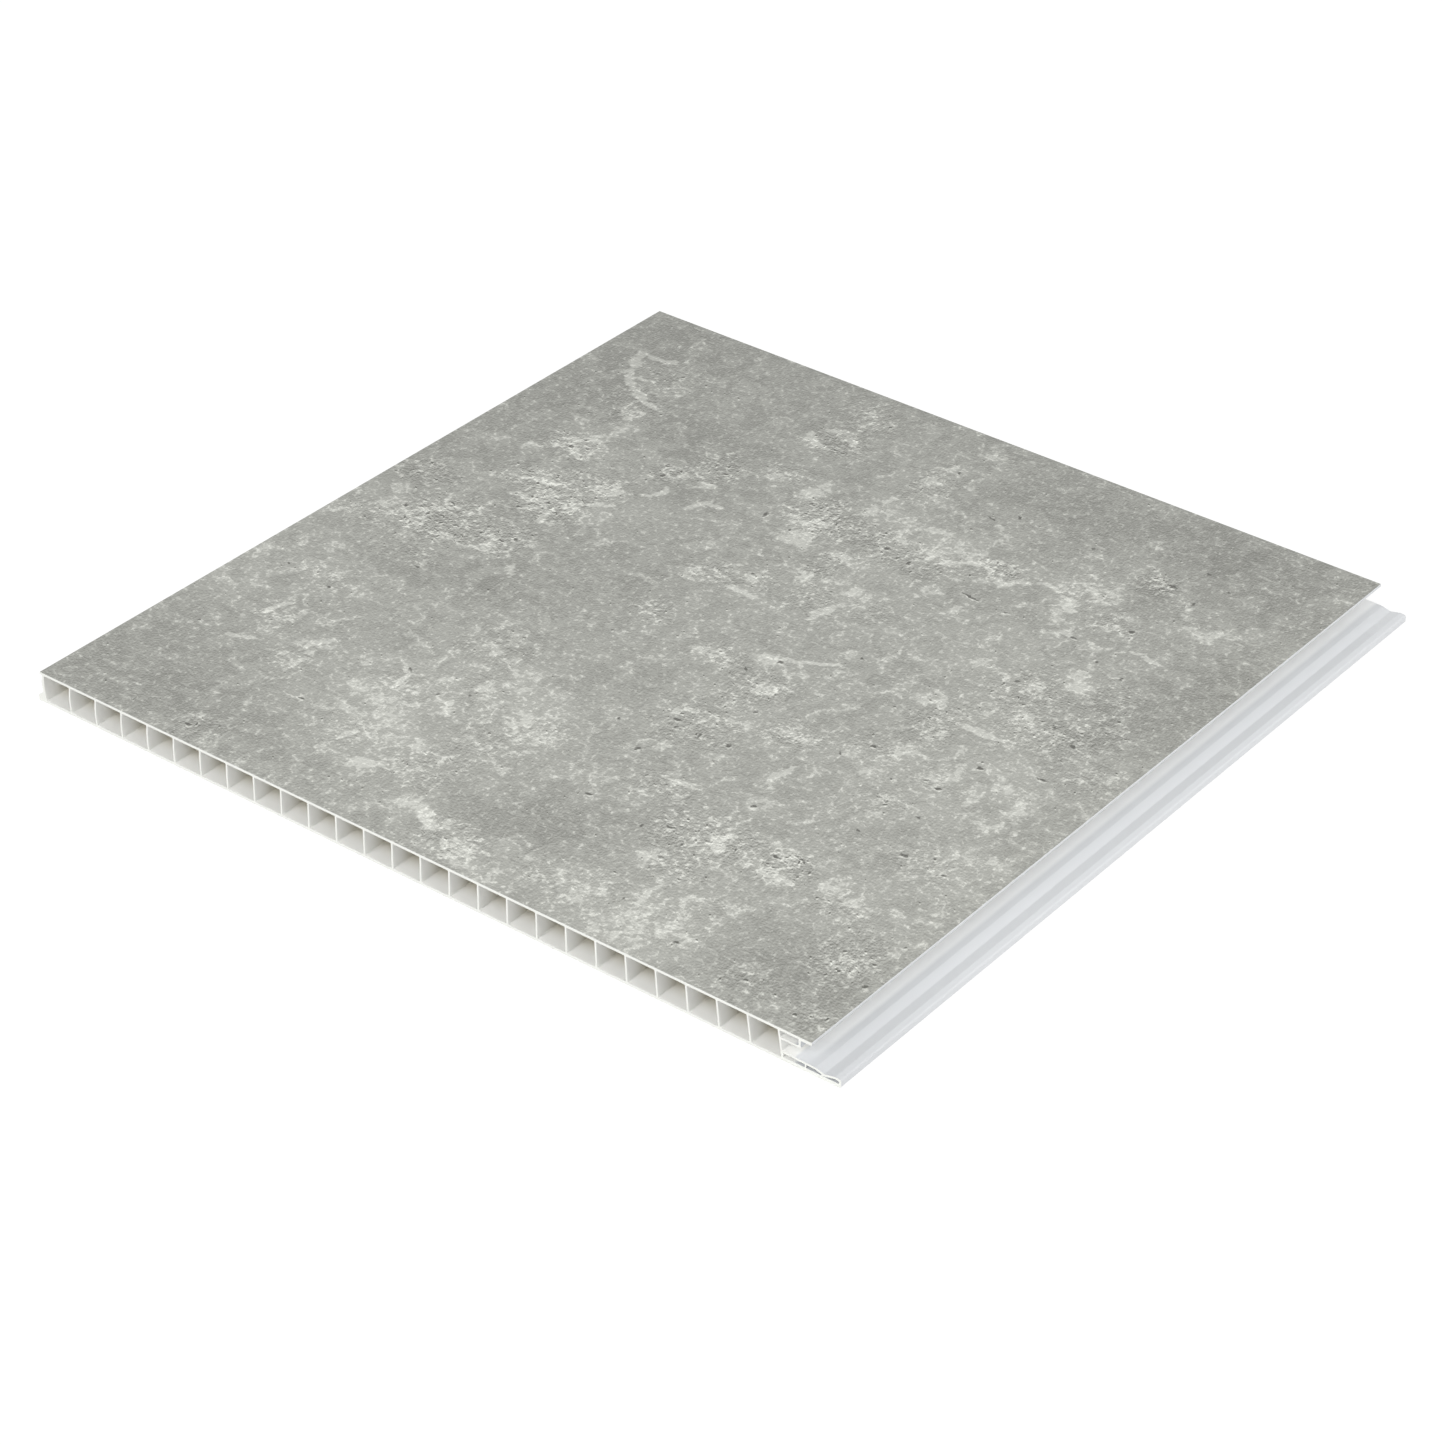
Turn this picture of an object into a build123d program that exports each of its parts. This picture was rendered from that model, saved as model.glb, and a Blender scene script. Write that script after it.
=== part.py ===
"""Hollow wall panel: one extrusion of rigid PVC with closed cells, a groove and a nailing flange.

The section lies in XZ with the back at Z = 0 and the printed face up, and it runs along Y.
Widths in the section are measured from the free edge of the printed face towards the flange,
heights from the back of the panel. The finished panel is centred on X and Y.
"""

from build123d import *

import os

# The panel as a whole
cover_width = 250.0  # the printed face, from its free edge to the tip of the lip
panel_length = 260.0  # along the extrusion, as cut
thickness = 9.0

# Skins, webs and the cells between them
face_skin = 0.75
back_skin = 0.8
web_wall = 0.5
edge_web_wall = 0.75
cell_count = 26
cell_round = 0.3
edge_web_inset = 1.7  # from the free edge to the middle of the first web's foot
groove_inset = 8.25  # from the tip of the lip to the middle of the last web's foot

# The webs come out of the die a little bent: bowed at the free edge, leaning at the groove
edge_web_lean = 0.6
edge_bow = 0.45
bowed_webs = 8
groove_lean = 1.35

# Foot of the free edge, a small hook at the back of the panel
bead_reach = 1.0  # past the free edge of the face
bead_height = 1.5
bead_slope_top = 3.3  # where its slope runs into the middle of the first web
bead_round = 0.35
edge_round = 0.25  # on the free edge of the face, above the foot

# Lip and the small box cell that stiffens it
lip_reach = 3.2  # from the box cell to the tip
lip_wall = 0.9
lip_round = 0.25
box_depth = 3.1  # from the face down to the underside of the box cell
box_wall = 0.55
box_round = 0.15
root_round = 0.3  # in the corners where walls meet outside the cells

# Nailing flange, a double wall with a screw valley along it
flange_reach = 8.6  # past the tip of the lip
flange_root_height = 2.75
ridge_from_lip = 1.2
ridge_height = 2.5
valley_from_lip = 3.8
valley_height = 1.8
crest_from_lip = 6.8
crest_height = 2.5
nose_height = 2.35
nose_round = 0.6
flange_floor = 1.05
flange_skin = 0.6
flange_web_wall = 0.45
inner_web_from_lip = -1.6  # the web between the first two slots of the double wall
outer_web_from_lip = 3.2  # the web between the last two
nose_wall = 0.6
bend_round = 1.0  # along the ridge, the valley and the crest

# Places that follow from the sizes
web_pitch = (cover_width - groove_inset - edge_web_inset) / cell_count
web_top = thickness - face_skin
box_underside = thickness - box_depth
box_end = cover_width - lip_reach
lip_underside = thickness - lip_wall
last_foot = cover_width - groove_inset
nose = cover_width + flange_reach
web_height = web_top - back_skin
slot_start = last_foot + web_wall / 2
slot_end = nose - nose_wall
section_middle = (nose - bead_reach) / 2
far_end = Plane(
    origin=(-section_middle, panel_length / 2, 0), x_dir=(1, 0, 0), z_dir=(0, -1, 0)
)


def web_centre(index):
    """The foot, middle and head of one web's centre line, counted from the free edge."""
    foot = edge_web_inset + index * web_pitch
    past_middle = max(0.0, 2 * index / cell_count - 1)
    lean = groove_lean * past_middle**2
    if index == 0:
        lean = edge_web_lean
    bow = edge_bow * max(0.0, 1 - index / bowed_webs)
    head = foot - lean
    middle = (foot + head) / 2 - bow
    return (foot, back_skin), (middle, back_skin + web_height / 2), (head, web_top)


def last_web_x(height):
    """Where the middle of the last web, which is straight, stands at a height."""
    return last_foot - groove_lean * (height - back_skin) / web_height


def web_side(index, side):
    """Draws one face of a web: side is -1 towards the free edge and 1 towards the groove."""
    wall = edge_web_wall if index == 0 else web_wall
    points = [(x + side * wall / 2, z) for x, z in web_centre(index)]
    if index < bowed_webs:
        return ThreePointArc(*points)
    return Line(points[0], points[-1])


def web_sketch(index):
    """One web, closed across its foot and its head."""
    with BuildSketch() as web:
        with BuildLine():
            left = web_side(index, -1)
            right = web_side(index, 1)
            Line(left @ 0, right @ 0)
            Line(left @ 1, right @ 1)
        make_face()
    return web.sketch


def corners(sketch, *places):
    """The corners of a sketch that lie nearest to the given places."""
    return [sketch.vertices().sort_by_distance((x, z, 0))[0] for x, z in places]


# The flange's top, from its root under the box cell to its nose
flange_top = [
    (last_web_x(flange_root_height), flange_root_height),
    (cover_width + ridge_from_lip, ridge_height),
    (cover_width + valley_from_lip, valley_height),
    (cover_width + crest_from_lip, crest_height),
    (nose, nose_height),
]

# The three thin slots in the flange's double wall, which follow its top
with BuildSketch() as slots:
    with BuildLine():
        Polyline(
            (slot_start, flange_floor),
            *[(min(max(x, slot_start), slot_end), z - flange_skin) for x, z in flange_top],
            (slot_end, flange_floor),
            close=True,
        )
    make_face()
    with Locations((cover_width + inner_web_from_lip, 0), (cover_width + outer_web_from_lip, 0)):
        Rectangle(flange_web_wall, 2 * thickness, mode=Mode.SUBTRACT)

with BuildPart() as wall_panel:
    with BuildSketch(far_end) as section:
        # The two skins
        with Locations((0, thickness)):
            Rectangle(cover_width, face_skin, align=(Align.MIN, Align.MAX))
        with Locations((-bead_reach, 0)):
            Rectangle(last_foot + bead_reach, back_skin, align=(Align.MIN, Align.MIN))

        # The webs
        for web_index in range(cell_count + 1):
            add(web_sketch(web_index))

        # The foot of the free edge, a wedge against the first web
        with BuildLine():
            Polyline(
                (-bead_reach, 0),
                (-bead_reach, bead_height),
                (edge_web_inset - edge_web_lean, bead_slope_top),
                (edge_web_inset, back_skin),
                (edge_web_inset, 0),
                close=True,
            )
        make_face()

        # The box cell: its lower wall, its end wall and the lip beyond
        box_start = last_web_x(box_underside)
        with Locations((box_start, box_underside)):
            Rectangle(box_end - box_start, box_wall, align=(Align.MIN, Align.MIN))
        with Locations((box_end, box_underside)):
            Rectangle(box_wall, box_depth, align=(Align.MAX, Align.MIN))
        with Locations((cover_width, thickness)):
            Rectangle(lip_reach, lip_wall, align=(Align.MAX, Align.MAX))

        # The corners inside every cell
        fillet(section.face().inner_wires().vertices(), cell_round)

        # The nailing flange with its slots
        with BuildLine():
            Polyline((last_foot, 0), *flange_top, (nose, 0), close=True)
        make_face()
        add(slots.sketch, mode=Mode.SUBTRACT)

        # The corners and bends of the outline
        fillet(corners(section, flange_top[-1], (nose, 0)), nose_round)
        fillet(corners(section, *flange_top[1:-1]), bend_round)
        fillet(corners(section, flange_top[0], (box_start, box_underside)), root_round)
        fillet(corners(section, (box_end, box_underside)), box_round)
        fillet(corners(section, (box_end, lip_underside)), root_round)
        fillet(corners(section, (cover_width, thickness), (cover_width, lip_underside)), lip_round)
        fillet(corners(section, (0, thickness), (0, web_top)), edge_round)
        fillet(corners(section, (-bead_reach, bead_height), (-bead_reach, 0)), bead_round)

    extrude(amount=panel_length)

wall_panel.part.label = "wall_panel"
os.makedirs("parts", exist_ok=True)
export_step(wall_panel.part, "parts/wall_panel.step")
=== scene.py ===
"""Studio scene of a hollow PVC wall panel with a printed stone-effect face.

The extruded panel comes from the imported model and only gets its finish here. The printed face is
a thin film laid on the panel's top skin. Lengths in the classes are millimetres unless a name or
comment says otherwise, and meshes are built in metres.
"""

from __future__ import annotations

import logging
import math
from dataclasses import dataclass
from enum import Enum

import bmesh
import bpy
from mathutils import Matrix, Vector, kdtree, noise

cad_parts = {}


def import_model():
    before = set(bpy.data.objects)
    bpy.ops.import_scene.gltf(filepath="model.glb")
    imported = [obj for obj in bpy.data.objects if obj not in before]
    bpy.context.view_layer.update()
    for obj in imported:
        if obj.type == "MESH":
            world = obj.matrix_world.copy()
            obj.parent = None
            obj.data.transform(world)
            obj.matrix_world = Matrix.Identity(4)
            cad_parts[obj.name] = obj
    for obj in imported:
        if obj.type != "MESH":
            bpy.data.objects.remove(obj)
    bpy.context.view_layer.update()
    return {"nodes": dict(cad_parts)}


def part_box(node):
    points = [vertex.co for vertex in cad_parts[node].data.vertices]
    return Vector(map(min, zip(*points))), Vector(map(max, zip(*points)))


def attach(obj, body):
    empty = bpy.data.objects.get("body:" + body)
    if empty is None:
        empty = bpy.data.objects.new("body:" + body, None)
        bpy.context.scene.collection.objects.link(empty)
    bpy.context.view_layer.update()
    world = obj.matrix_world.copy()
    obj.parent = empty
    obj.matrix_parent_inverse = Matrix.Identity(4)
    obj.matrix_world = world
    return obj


LOG = logging.getLogger("wall_panel")
MM = 0.001
PANEL_NODE = "wall_panel"
BODY = "root"

Colour = tuple[float, float, float, float]
Step = tuple[float, float]  # where a soft step starts and where it ends

# Settings of a Noise Texture node for a flat face
FLAT_NOISE = {"noise_dimensions": "2D", "normalize": False}

# The Mix node's sockets when it mixes colours
MIX_SHARE, MIX_FIRST, MIX_SECOND = 0, 6, 7
MIX_RESULT = 2


def paint(red: int, green: int, blue: int) -> Colour:
    """Turns a colour as a paint chart gives it, 0 to 255, into scene-linear numbers.

    Args:
        red: The red part.
        green: The green part.
        blue: The blue part.

    Returns:
        Linear red, green and blue, with an alpha of 1.
    """
    parts = [part / 255 for part in (red, green, blue)]
    red_light, green_light, blue_light = (
        part / 12.92 if part <= 0.04045 else ((part + 0.055) / 1.055) ** 2.4 for part in parts
    )
    return (red_light, green_light, blue_light, 1.0)


def grey(level: float) -> Colour:
    """A scene-linear grey from 0, black, to 1, white."""
    return (level, level, level, 1.0)


@dataclass(frozen=True)
class Grain:
    """The look of a cloudy noise."""

    size: float  # of its largest clouds, in millimetres
    detail: float = 3.0  # how many finer layers it has
    roughness: float = 0.6  # how strong the finer layers are


class Maths(Enum):
    """The Math node's operations that the finishes use."""

    ADD = "ADD"
    SUBTRACT = "SUBTRACT"
    MULTIPLY = "MULTIPLY"
    MAXIMUM = "MAXIMUM"
    ABSOLUTE = "ABSOLUTE"


class Signal:
    """A number that varies over a surface, for use in Python expressions."""

    def __init__(self, graph: Graph, socket: bpy.types.NodeSocket) -> None:
        """Wraps one output socket of a graph's node."""
        self.graph = graph
        self.socket = socket

    def __add__(self, other: Signal | float) -> Signal:
        """Adds a signal or a number."""
        return self.graph.maths(Maths.ADD, self, other)

    def __radd__(self, other: float) -> Signal:
        """Adds to a number."""
        return self.graph.maths(Maths.ADD, other, self)

    def __sub__(self, other: Signal | float) -> Signal:
        """Takes away a signal or a number."""
        return self.graph.maths(Maths.SUBTRACT, self, other)

    def __rsub__(self, other: float) -> Signal:
        """Takes this signal away from a number."""
        return self.graph.maths(Maths.SUBTRACT, other, self)

    def __mul__(self, other: Signal | float) -> Signal:
        """Multiplies by a signal or a number."""
        return self.graph.maths(Maths.MULTIPLY, self, other)

    def __rmul__(self, other: float) -> Signal:
        """Multiplies a number."""
        return self.graph.maths(Maths.MULTIPLY, other, self)

    def __abs__(self) -> Signal:
        """The signal without its sign."""
        return self.graph.maths(Maths.ABSOLUTE, self)

    def over(self, low: float, high: float) -> Signal:
        """A soft step, 0 below low and 1 above high.

        Args:
            low: Where the step starts.
            high: Where it ends. With high under low the step falls.

        Returns:
            The step as a signal from 0 to 1.
        """
        node = self.graph.node(
            "ShaderNodeMapRange",
            {"interpolation_type": "SMOOTHSTEP"},
            {"Value": self, "From Min": low, "From Max": high},
        )
        return Signal(self.graph, node.outputs["Result"])


class Place:
    """A position that varies over a surface, in millimetres."""

    def __init__(self, graph: Graph, socket: bpy.types.NodeSocket) -> None:
        """Wraps one vector socket of a graph's node."""
        self.graph = graph
        self.socket = socket

    def _combine(self, operation: str, other: Place | tuple[float, float, float]) -> Place:
        """Runs one Vector Math node on this place and another."""
        values = {0: self, 1: other}
        node = self.graph.node("ShaderNodeVectorMath", {"operation": operation}, values)
        return Place(self.graph, node.outputs["Vector"])

    def __add__(self, other: Place | tuple[float, float, float]) -> Place:
        """Moves the place."""
        return self._combine("ADD", other)

    def __sub__(self, other: Place | tuple[float, float, float]) -> Place:
        """Measures the place from another."""
        return self._combine("SUBTRACT", other)

    def __mul__(self, other: float | tuple[float, float, float]) -> Place:
        """Scales the place, by one factor or by one for each axis."""
        factors = other if isinstance(other, tuple) else (other, other, other)
        return self._combine("MULTIPLY", factors)

    def axes(self) -> tuple[Signal, Signal, Signal]:
        """The place's X, Y and Z as three signals."""
        node = self.graph.node("ShaderNodeSeparateXYZ", {}, {"Vector": self})
        x, y, z = (Signal(self.graph, node.outputs[axis]) for axis in ("X", "Y", "Z"))
        return x, y, z


class Graph:
    """The node tree of a material or a world, with a single shader at its end."""

    def __init__(self, owner: bpy.types.Material | bpy.types.World) -> None:
        """Empties the node tree of a new material or world."""
        self.owner = owner
        self.owner.use_nodes = True
        self.tree = self.owner.node_tree
        self.tree.nodes.clear()

    def node(
        self,
        kind: str,
        settings: dict[str, object] | None = None,
        inputs: dict[str | int, object] | None = None,
    ) -> bpy.types.Node:
        """Adds any node, sets it up and feeds its sockets.

        Args:
            kind: The node's type.
            settings: Its options, which are set first.
            inputs: Values or links for its sockets, by name or number.

        Returns:
            The new node.
        """
        node = self.tree.nodes.new(kind)
        for option, value in (settings or {}).items():
            setattr(node, option, value)
        for socket, value in (inputs or {}).items():
            self.feed(node.inputs[socket], value)
        return node

    def feed(self, socket: bpy.types.NodeSocket, value: object) -> None:
        """Links a signal or a place to a socket, or sets the socket to a constant."""
        if isinstance(value, (Signal, Place)):
            self.tree.links.new(value.socket, socket)
        else:
            socket.default_value = value

    def maths(self, operation: Maths, *values: Signal | float) -> Signal:
        """Adds a Math node.

        Args:
            operation: What it does.
            values: Its inputs in order.

        Returns:
            Its result.
        """
        node = self.node("ShaderNodeMath", {"operation": operation.value}, dict(enumerate(values)))
        return Signal(self, node.outputs["Value"])

    def place(self) -> Place:
        """The position on the object, in millimetres."""
        node = self.node("ShaderNodeTexCoord")
        return Place(self, node.outputs["Object"]) * (1 / MM)

    def noise(self, place: Place, grain: Grain) -> Signal:
        """Cloudy noise on a flat face, about 0 on the whole and 0.3 either way.

        Args:
            place: Where it is read, in its X and Y.
            grain: Its look.

        Returns:
            The noise.
        """
        return Signal(self, self._noise_node(place, grain, FLAT_NOISE).outputs["Fac"])

    def solid_noise(self, place: Place, grain: Grain) -> Signal:
        """Cloudy noise from 0 to 1 all through a solid.

        Args:
            place: Where it is read.
            grain: Its look.

        Returns:
            The noise.
        """
        return Signal(self, self._noise_node(place, grain, {}).outputs["Fac"])

    def stir(self, place: Place, grain: Grain, reach: float) -> Place:
        """Moves a place about at random, so that what is drawn there gets ragged edges.

        Args:
            place: The place to move.
            grain: The look of the random moves.
            reach: How far they move it at most, in millimetres.

        Returns:
            The moved place.
        """
        drift = Place(self, self._noise_node(place, grain, FLAT_NOISE).outputs["Color"])
        return place + drift * (reach, reach, 0.0)

    def _noise_node(
        self, place: Place, grain: Grain, settings: dict[str, object]
    ) -> bpy.types.Node:
        """Adds a Noise Texture node."""
        values = {
            "Vector": place,
            "Scale": 1 / grain.size,
            "Detail": grain.detail,
            "Roughness": grain.roughness,
        }
        return self.node("ShaderNodeTexNoise", settings, values)

    def stored(self, name: str) -> Signal:
        """Reads a number that is stored on the points of the mesh."""
        node = self.node("ShaderNodeAttribute", {"attribute_name": name})
        return Signal(self, node.outputs["Fac"])

    def mix(self, share: Signal, first: Signal | Colour, second: Signal | Colour) -> Signal:
        """Mixes two colours.

        Args:
            share: How much of the second colour there is, 0 to 1.
            first: The colour at 0.
            second: The colour at 1.

        Returns:
            The mixed colour.
        """
        values = {MIX_SHARE: share, MIX_FIRST: first, MIX_SECOND: second}
        node = self.node("ShaderNodeMix", {"data_type": "RGBA"}, values)
        return Signal(self, node.outputs[MIX_RESULT])

    def bump(self, height: Signal, distance: float) -> Signal:
        """Turns a height from 0 to 1 into a surface direction.

        Args:
            height: The height.
            distance: What a height of 1 stands for, in millimetres.

        Returns:
            The direction, for a shader's Normal.
        """
        values = {"Strength": 1.0, "Distance": distance * MM, "Height": height}
        return Signal(self, self.node("ShaderNodeBump", {}, values).outputs["Normal"])

    def shown(self) -> Signal:
        """1 where the camera sees a surface itself, in a mirror or through glass, and else 0."""
        path = self.node("ShaderNodeLightPath")
        rays = ("Is Camera Ray", "Is Glossy Ray", "Is Transmission Ray")
        camera, glossy, clear = (Signal(self, path.outputs[ray]) for ray in rays)
        return self.maths(Maths.MAXIMUM, self.maths(Maths.MAXIMUM, camera, glossy), clear)

    def finish(self, kind: str, inputs: dict[str | int, object]) -> None:
        """Ends the graph in one shader.

        Args:
            kind: The shader node's type.
            inputs: Values or links for its sockets.
        """
        shader = self.node(kind, {}, inputs)
        is_world = isinstance(self.owner, bpy.types.World)
        output = self.node("ShaderNodeOutputWorld" if is_world else "ShaderNodeOutputMaterial")
        self.tree.links.new(shader.outputs[0], output.inputs["Surface"])


@dataclass(frozen=True)
class Spot:
    """One oval of the stone pattern, measured from the face's front free corner.

    x runs along the front cut edge and y into the depth. along and across are its half sizes,
    turn is its angle in degrees and strength how much it lightens or darkens.
    """

    x: float
    y: float
    along: float
    across: float
    turn: float = 0.0
    strength: float = 1.0


SHADES = (
    # Broad darker ground
    # Painted shade: the far part of the face darker
    Spot(110, 300, 190, 150, 0, -0.105),
    Spot(94, 54, 44, 34, 0, 0.05),
    Spot(20, 250, 34, 18, 0, -0.07),
    Spot(4, 196, 28, 44, 0, -0.09),
    Spot(10, 228, 22, 16, 0, -0.05),
    Spot(40, 208, 34, 14, 0, -0.04),
    Spot(62, 205, 22, 16, 0, -0.05),
    Spot(28, 163, 20, 12, 0, -0.06),
    Spot(6, 148, 24, 22, 0, -0.09),
    Spot(45, 142, 24, 9, 0, -0.07),
    Spot(74, 178, 16, 8, 0, -0.06),
    Spot(46, 106, 32, 16, 0, -0.08),
    Spot(76, 116, 34, 26, 0, -0.05),
    Spot(86, 142, 24, 20, 0, -0.06),
    Spot(14, 20, 40, 34, 0, -0.1),
    Spot(50, 14, 32, 18, 0, -0.06),
    Spot(143, 28, 24, 12, 8, -0.12),
    Spot(155, 40, 20, 9, 0, -0.06),
    Spot(244, 178, 20, 34, 0, -0.12),
    Spot(228, 150, 12, 24, 0, -0.07),
    Spot(205, 213, 10, 15, 0, -0.08),
    Spot(235, 242, 38, 28, 0, -0.09),
    Spot(168, 240, 26, 13, 0, -0.07),
    Spot(202, 247, 26, 18, 0, -0.06),
    Spot(228, 18, 28, 20, 0, -0.10),
    Spot(63, 71, 10, 8, 0, -0.06),
    Spot(96, 47, 7, 7, 0, -0.06),
    Spot(122, 174, 6, 15, 0, -0.07),
    Spot(128, 96, 24, 14, 0, -0.03),
    # Broad pale haze
    Spot(78, 48, 26, 24, 0, 0.07),
    Spot(92, 29, 26, 14, 0, 0.07),
    Spot(108, 68, 22, 13, -30, 0.08),
    Spot(188, 14, 30, 24, 0, 0.1),
    Spot(140, 7, 24, 12, 0, 0.07),
    Spot(114, 14, 14, 11, 0, 0.06),
    Spot(148, 201, 28, 15, 0, 0.09),
    Spot(188, 206, 16, 16, 0, 0.08),
    Spot(126, 216, 16, 18, 0, 0.07),
    Spot(108, 190, 17, 13, 0, 0.08),
    Spot(137, 172, 26, 22, 0, 0.06),
    Spot(112, 240, 32, 20, 0, 0.06),
    Spot(88, 215, 18, 18, 0, 0.03),
    Spot(184, 165, 20, 24, 0, 0.06),
    Spot(214, 168, 12, 10, 0, 0.05),
    Spot(226, 114, 18, 16, 0, 0.07),
    Spot(238, 78, 16, 14, 0, 0.09),
    Spot(205, 96, 32, 22, 0, 0.05),
    Spot(152, 100, 26, 16, 0, 0.04),
    Spot(202, 50, 36, 18, 0, 0.06),
    Spot(238, 54, 20, 14, 0, 0.05),
    Spot(4, 72, 20, 18, 0, 0.05),
    Spot(24, 82, 16, 10, 0, 0.04),
    Spot(212, 132, 26, 22, 0, 0.05),
    Spot(48, 155, 20, 13, 0, 0.04),
    Spot(35, 182, 12, 9, 0, 0.05),
    Spot(245, 241, 9, 9, 0, 0.08),
)

CLOUDS = (
    # The far free corner
    Spot(36, 222, 4, 4, 0, 0.8),
    Spot(2, 223, 5, 4, 0, 0.7),
    Spot(33, 205.5, 4, 3, 0, 0.5),
    Spot(24.5, 193, 4.5, 3, 0, 0.9),
    Spot(36, 196, 5, 3.5, -20, 0.6),
    Spot(36, 182, 11, 8, 0, 0.52),
    Spot(22, 172, 4, 4, 0, 0.5),
    Spot(43, 164, 3, 6, 0, 0.35),
    Spot(56, 166, 6, 4, -20, 0.75),
    Spot(45, 154, 10, 7, 0, 0.3),
    Spot(69, 192, 4, 8, 0, 0.7),
    Spot(86, 204, 4, 6, 0, 0.6),
    Spot(90, 248, 3.5, 7, 0, 0.7),
    Spot(20, 152, 7, 6, 0, 0.4),
    # The pale band behind the middle
    Spot(102, 204, 4, 9, 0, 0.8),
    Spot(107, 188, 6, 5, 0, 0.9),
    Spot(115, 185, 6, 3.5, 0, 0.8),
    Spot(113, 178, 7, 7, 0, 0.7),
    Spot(122, 207, 6, 8, 0, 0.7),
    Spot(131, 251, 7, 6, 0, 0.6),
    Spot(127, 236, 5, 7, 0, 0.55),
    Spot(130, 221, 5, 5, 0, 0.6),
    Spot(142, 221.5, 4, 2.5, 0, 0.8),
    Spot(157, 223, 6, 6, 0, 0.5),
    Spot(154, 213, 9, 6, 0, 0.5),
    Spot(142, 201, 17, 9, 0, 0.56),
    Spot(145, 195, 11, 5, 0, 0.56),
    Spot(186, 206, 8, 10, 0, 0.6),
    Spot(197, 206, 4, 9, 0, 0.68),
    Spot(190, 195, 9, 6, -20, 0.36),
    Spot(184, 218, 6, 4, 0, 0.6),
    Spot(197, 223, 3, 4, 0, 0.8),
    Spot(205, 222, 4, 3, 0, 0.6),
    Spot(216, 217, 3.5, 4, 0, 0.8),
    Spot(206, 194, 5, 5, 0, 0.6),
    Spot(224, 206, 16, 5, 15, 0.4),
    Spot(245, 243.5, 5, 3, 0, 0.7),
    Spot(192, 238, 6, 7, 0, 0.4),
    # The middle
    Spot(133, 178, 8, 5, 0, 0.6),
    Spot(127, 163, 5, 5, 0, 0.6),
    Spot(143, 165, 7, 6, 0, 0.6),
    Spot(167, 175, 3, 5, 0, 0.5),
    Spot(195, 188, 7, 4, 0, 0.5),
    Spot(213, 165, 6, 6, 0, 0.7),
    Spot(204, 155, 6, 4, 30, 0.7),
    Spot(210, 143, 9, 5, 0, 0.5),
    Spot(187, 136, 4, 3.5, 0, 0.7),
    Spot(159, 137, 4, 4, 0, 0.5),
    Spot(102, 147.5, 5, 5, 0, 0.8),
    Spot(115, 154, 6, 4, 0, 0.6),
    Spot(142.5, 124, 5, 4, 0, 0.7),
    Spot(127, 115, 5, 6, 0, 0.5),
    Spot(153, 114, 5, 5, 0, 0.6),
    Spot(171, 101, 6, 3, 0, 0.8),
    Spot(162, 94, 7, 3.5, 0, 0.6),
    Spot(195, 107, 5, 5, 0, 0.6),
    Spot(198, 119, 3.5, 6, 0, 0.6),
    Spot(210, 108, 7, 8, 0, 0.4),
    Spot(232, 112, 7, 7, 0, 0.42),
    # Towards the free edge
    Spot(6, 113, 9, 6, 0, 0.5),
    Spot(20, 122, 14, 9, 0, 0.4),
    Spot(47, 122, 14, 10, 0, 0.4),
    Spot(40, 105, 6, 6, 0, 0.5),
    Spot(24, 84, 4.5, 4, 0, 0.45),
    Spot(38, 83, 5, 4, 0, 0.5),
    Spot(32, 58, 5, 4, 0, 0.4),
    Spot(46, 45.5, 5, 5, 0, 0.9),
    # The wide cloud near the front
    Spot(74, 53, 12, 11, 0, 0.12),
    Spot(86, 41, 12, 9, 20, 0.1),
    Spot(96, 28, 15, 9, -10, 0.16),
    Spot(80, 28, 8, 7, 0, 0.18),
    Spot(103, 72, 11, 7, -30, 0.16),
    Spot(120, 59, 8, 8, 0, 0.4),
    Spot(83, 83, 3.5, 3.5, 0, 0.8),
    Spot(101, 77, 8, 7, 0, 0.16),
    Spot(108, 64, 8, 6, 0, 0.2),
    Spot(118, 55, 10, 7, 0, 0.34),
    Spot(76, 48, 15, 12, 0, 0.1),
    Spot(97, 36, 3.5, 3.5, 0, 0.7),
    Spot(92, 21.5, 4, 3, 0, 0.7),
    Spot(114, 16, 8, 5, -25, 0.65),
    Spot(103, 7.5, 5, 4, 0, 0.65),
    Spot(63, 5.5, 5, 4, 0, 0.6),
    Spot(137, 7, 9, 6, 0, 0.3),
    Spot(145, 56, 6, 5, 0, 0.4),
    # The front corner at the lip
    Spot(190, 12, 18, 15, 0, 0.18),
    Spot(177, 7, 11, 9, 0, 0.2),
    Spot(201, 22, 8, 10, 0, 0.28),
    Spot(197, 75, 6, 6, 0, 0.5),
    Spot(235, 83, 6, 4, 0, 0.5),
    Spot(185, 47, 6, 4.5, 0, 0.7),
    Spot(205, 47, 6, 4, 0, 0.7),
    Spot(175.5, 35, 6, 5, 30, 0.9),
    Spot(224, 49, 8, 3, 0, 0.5),
    Spot(238, 44, 5, 4, 0, 0.6),
    Spot(235, 26, 7, 3, -25, 0.85),
    Spot(186, 22, 9, 9, 0, 0.22),
    Spot(203, 12, 4, 3, 0, 0.6),
    Spot(153, 13, 6, 5, 0, 0.5),
    Spot(166, 15, 7, 7, 0, 0.5),
    Spot(245, 10, 5, 4, 0, 0.5),
    Spot(190, 6, 10, 6, 0, 0.18),
)

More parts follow.
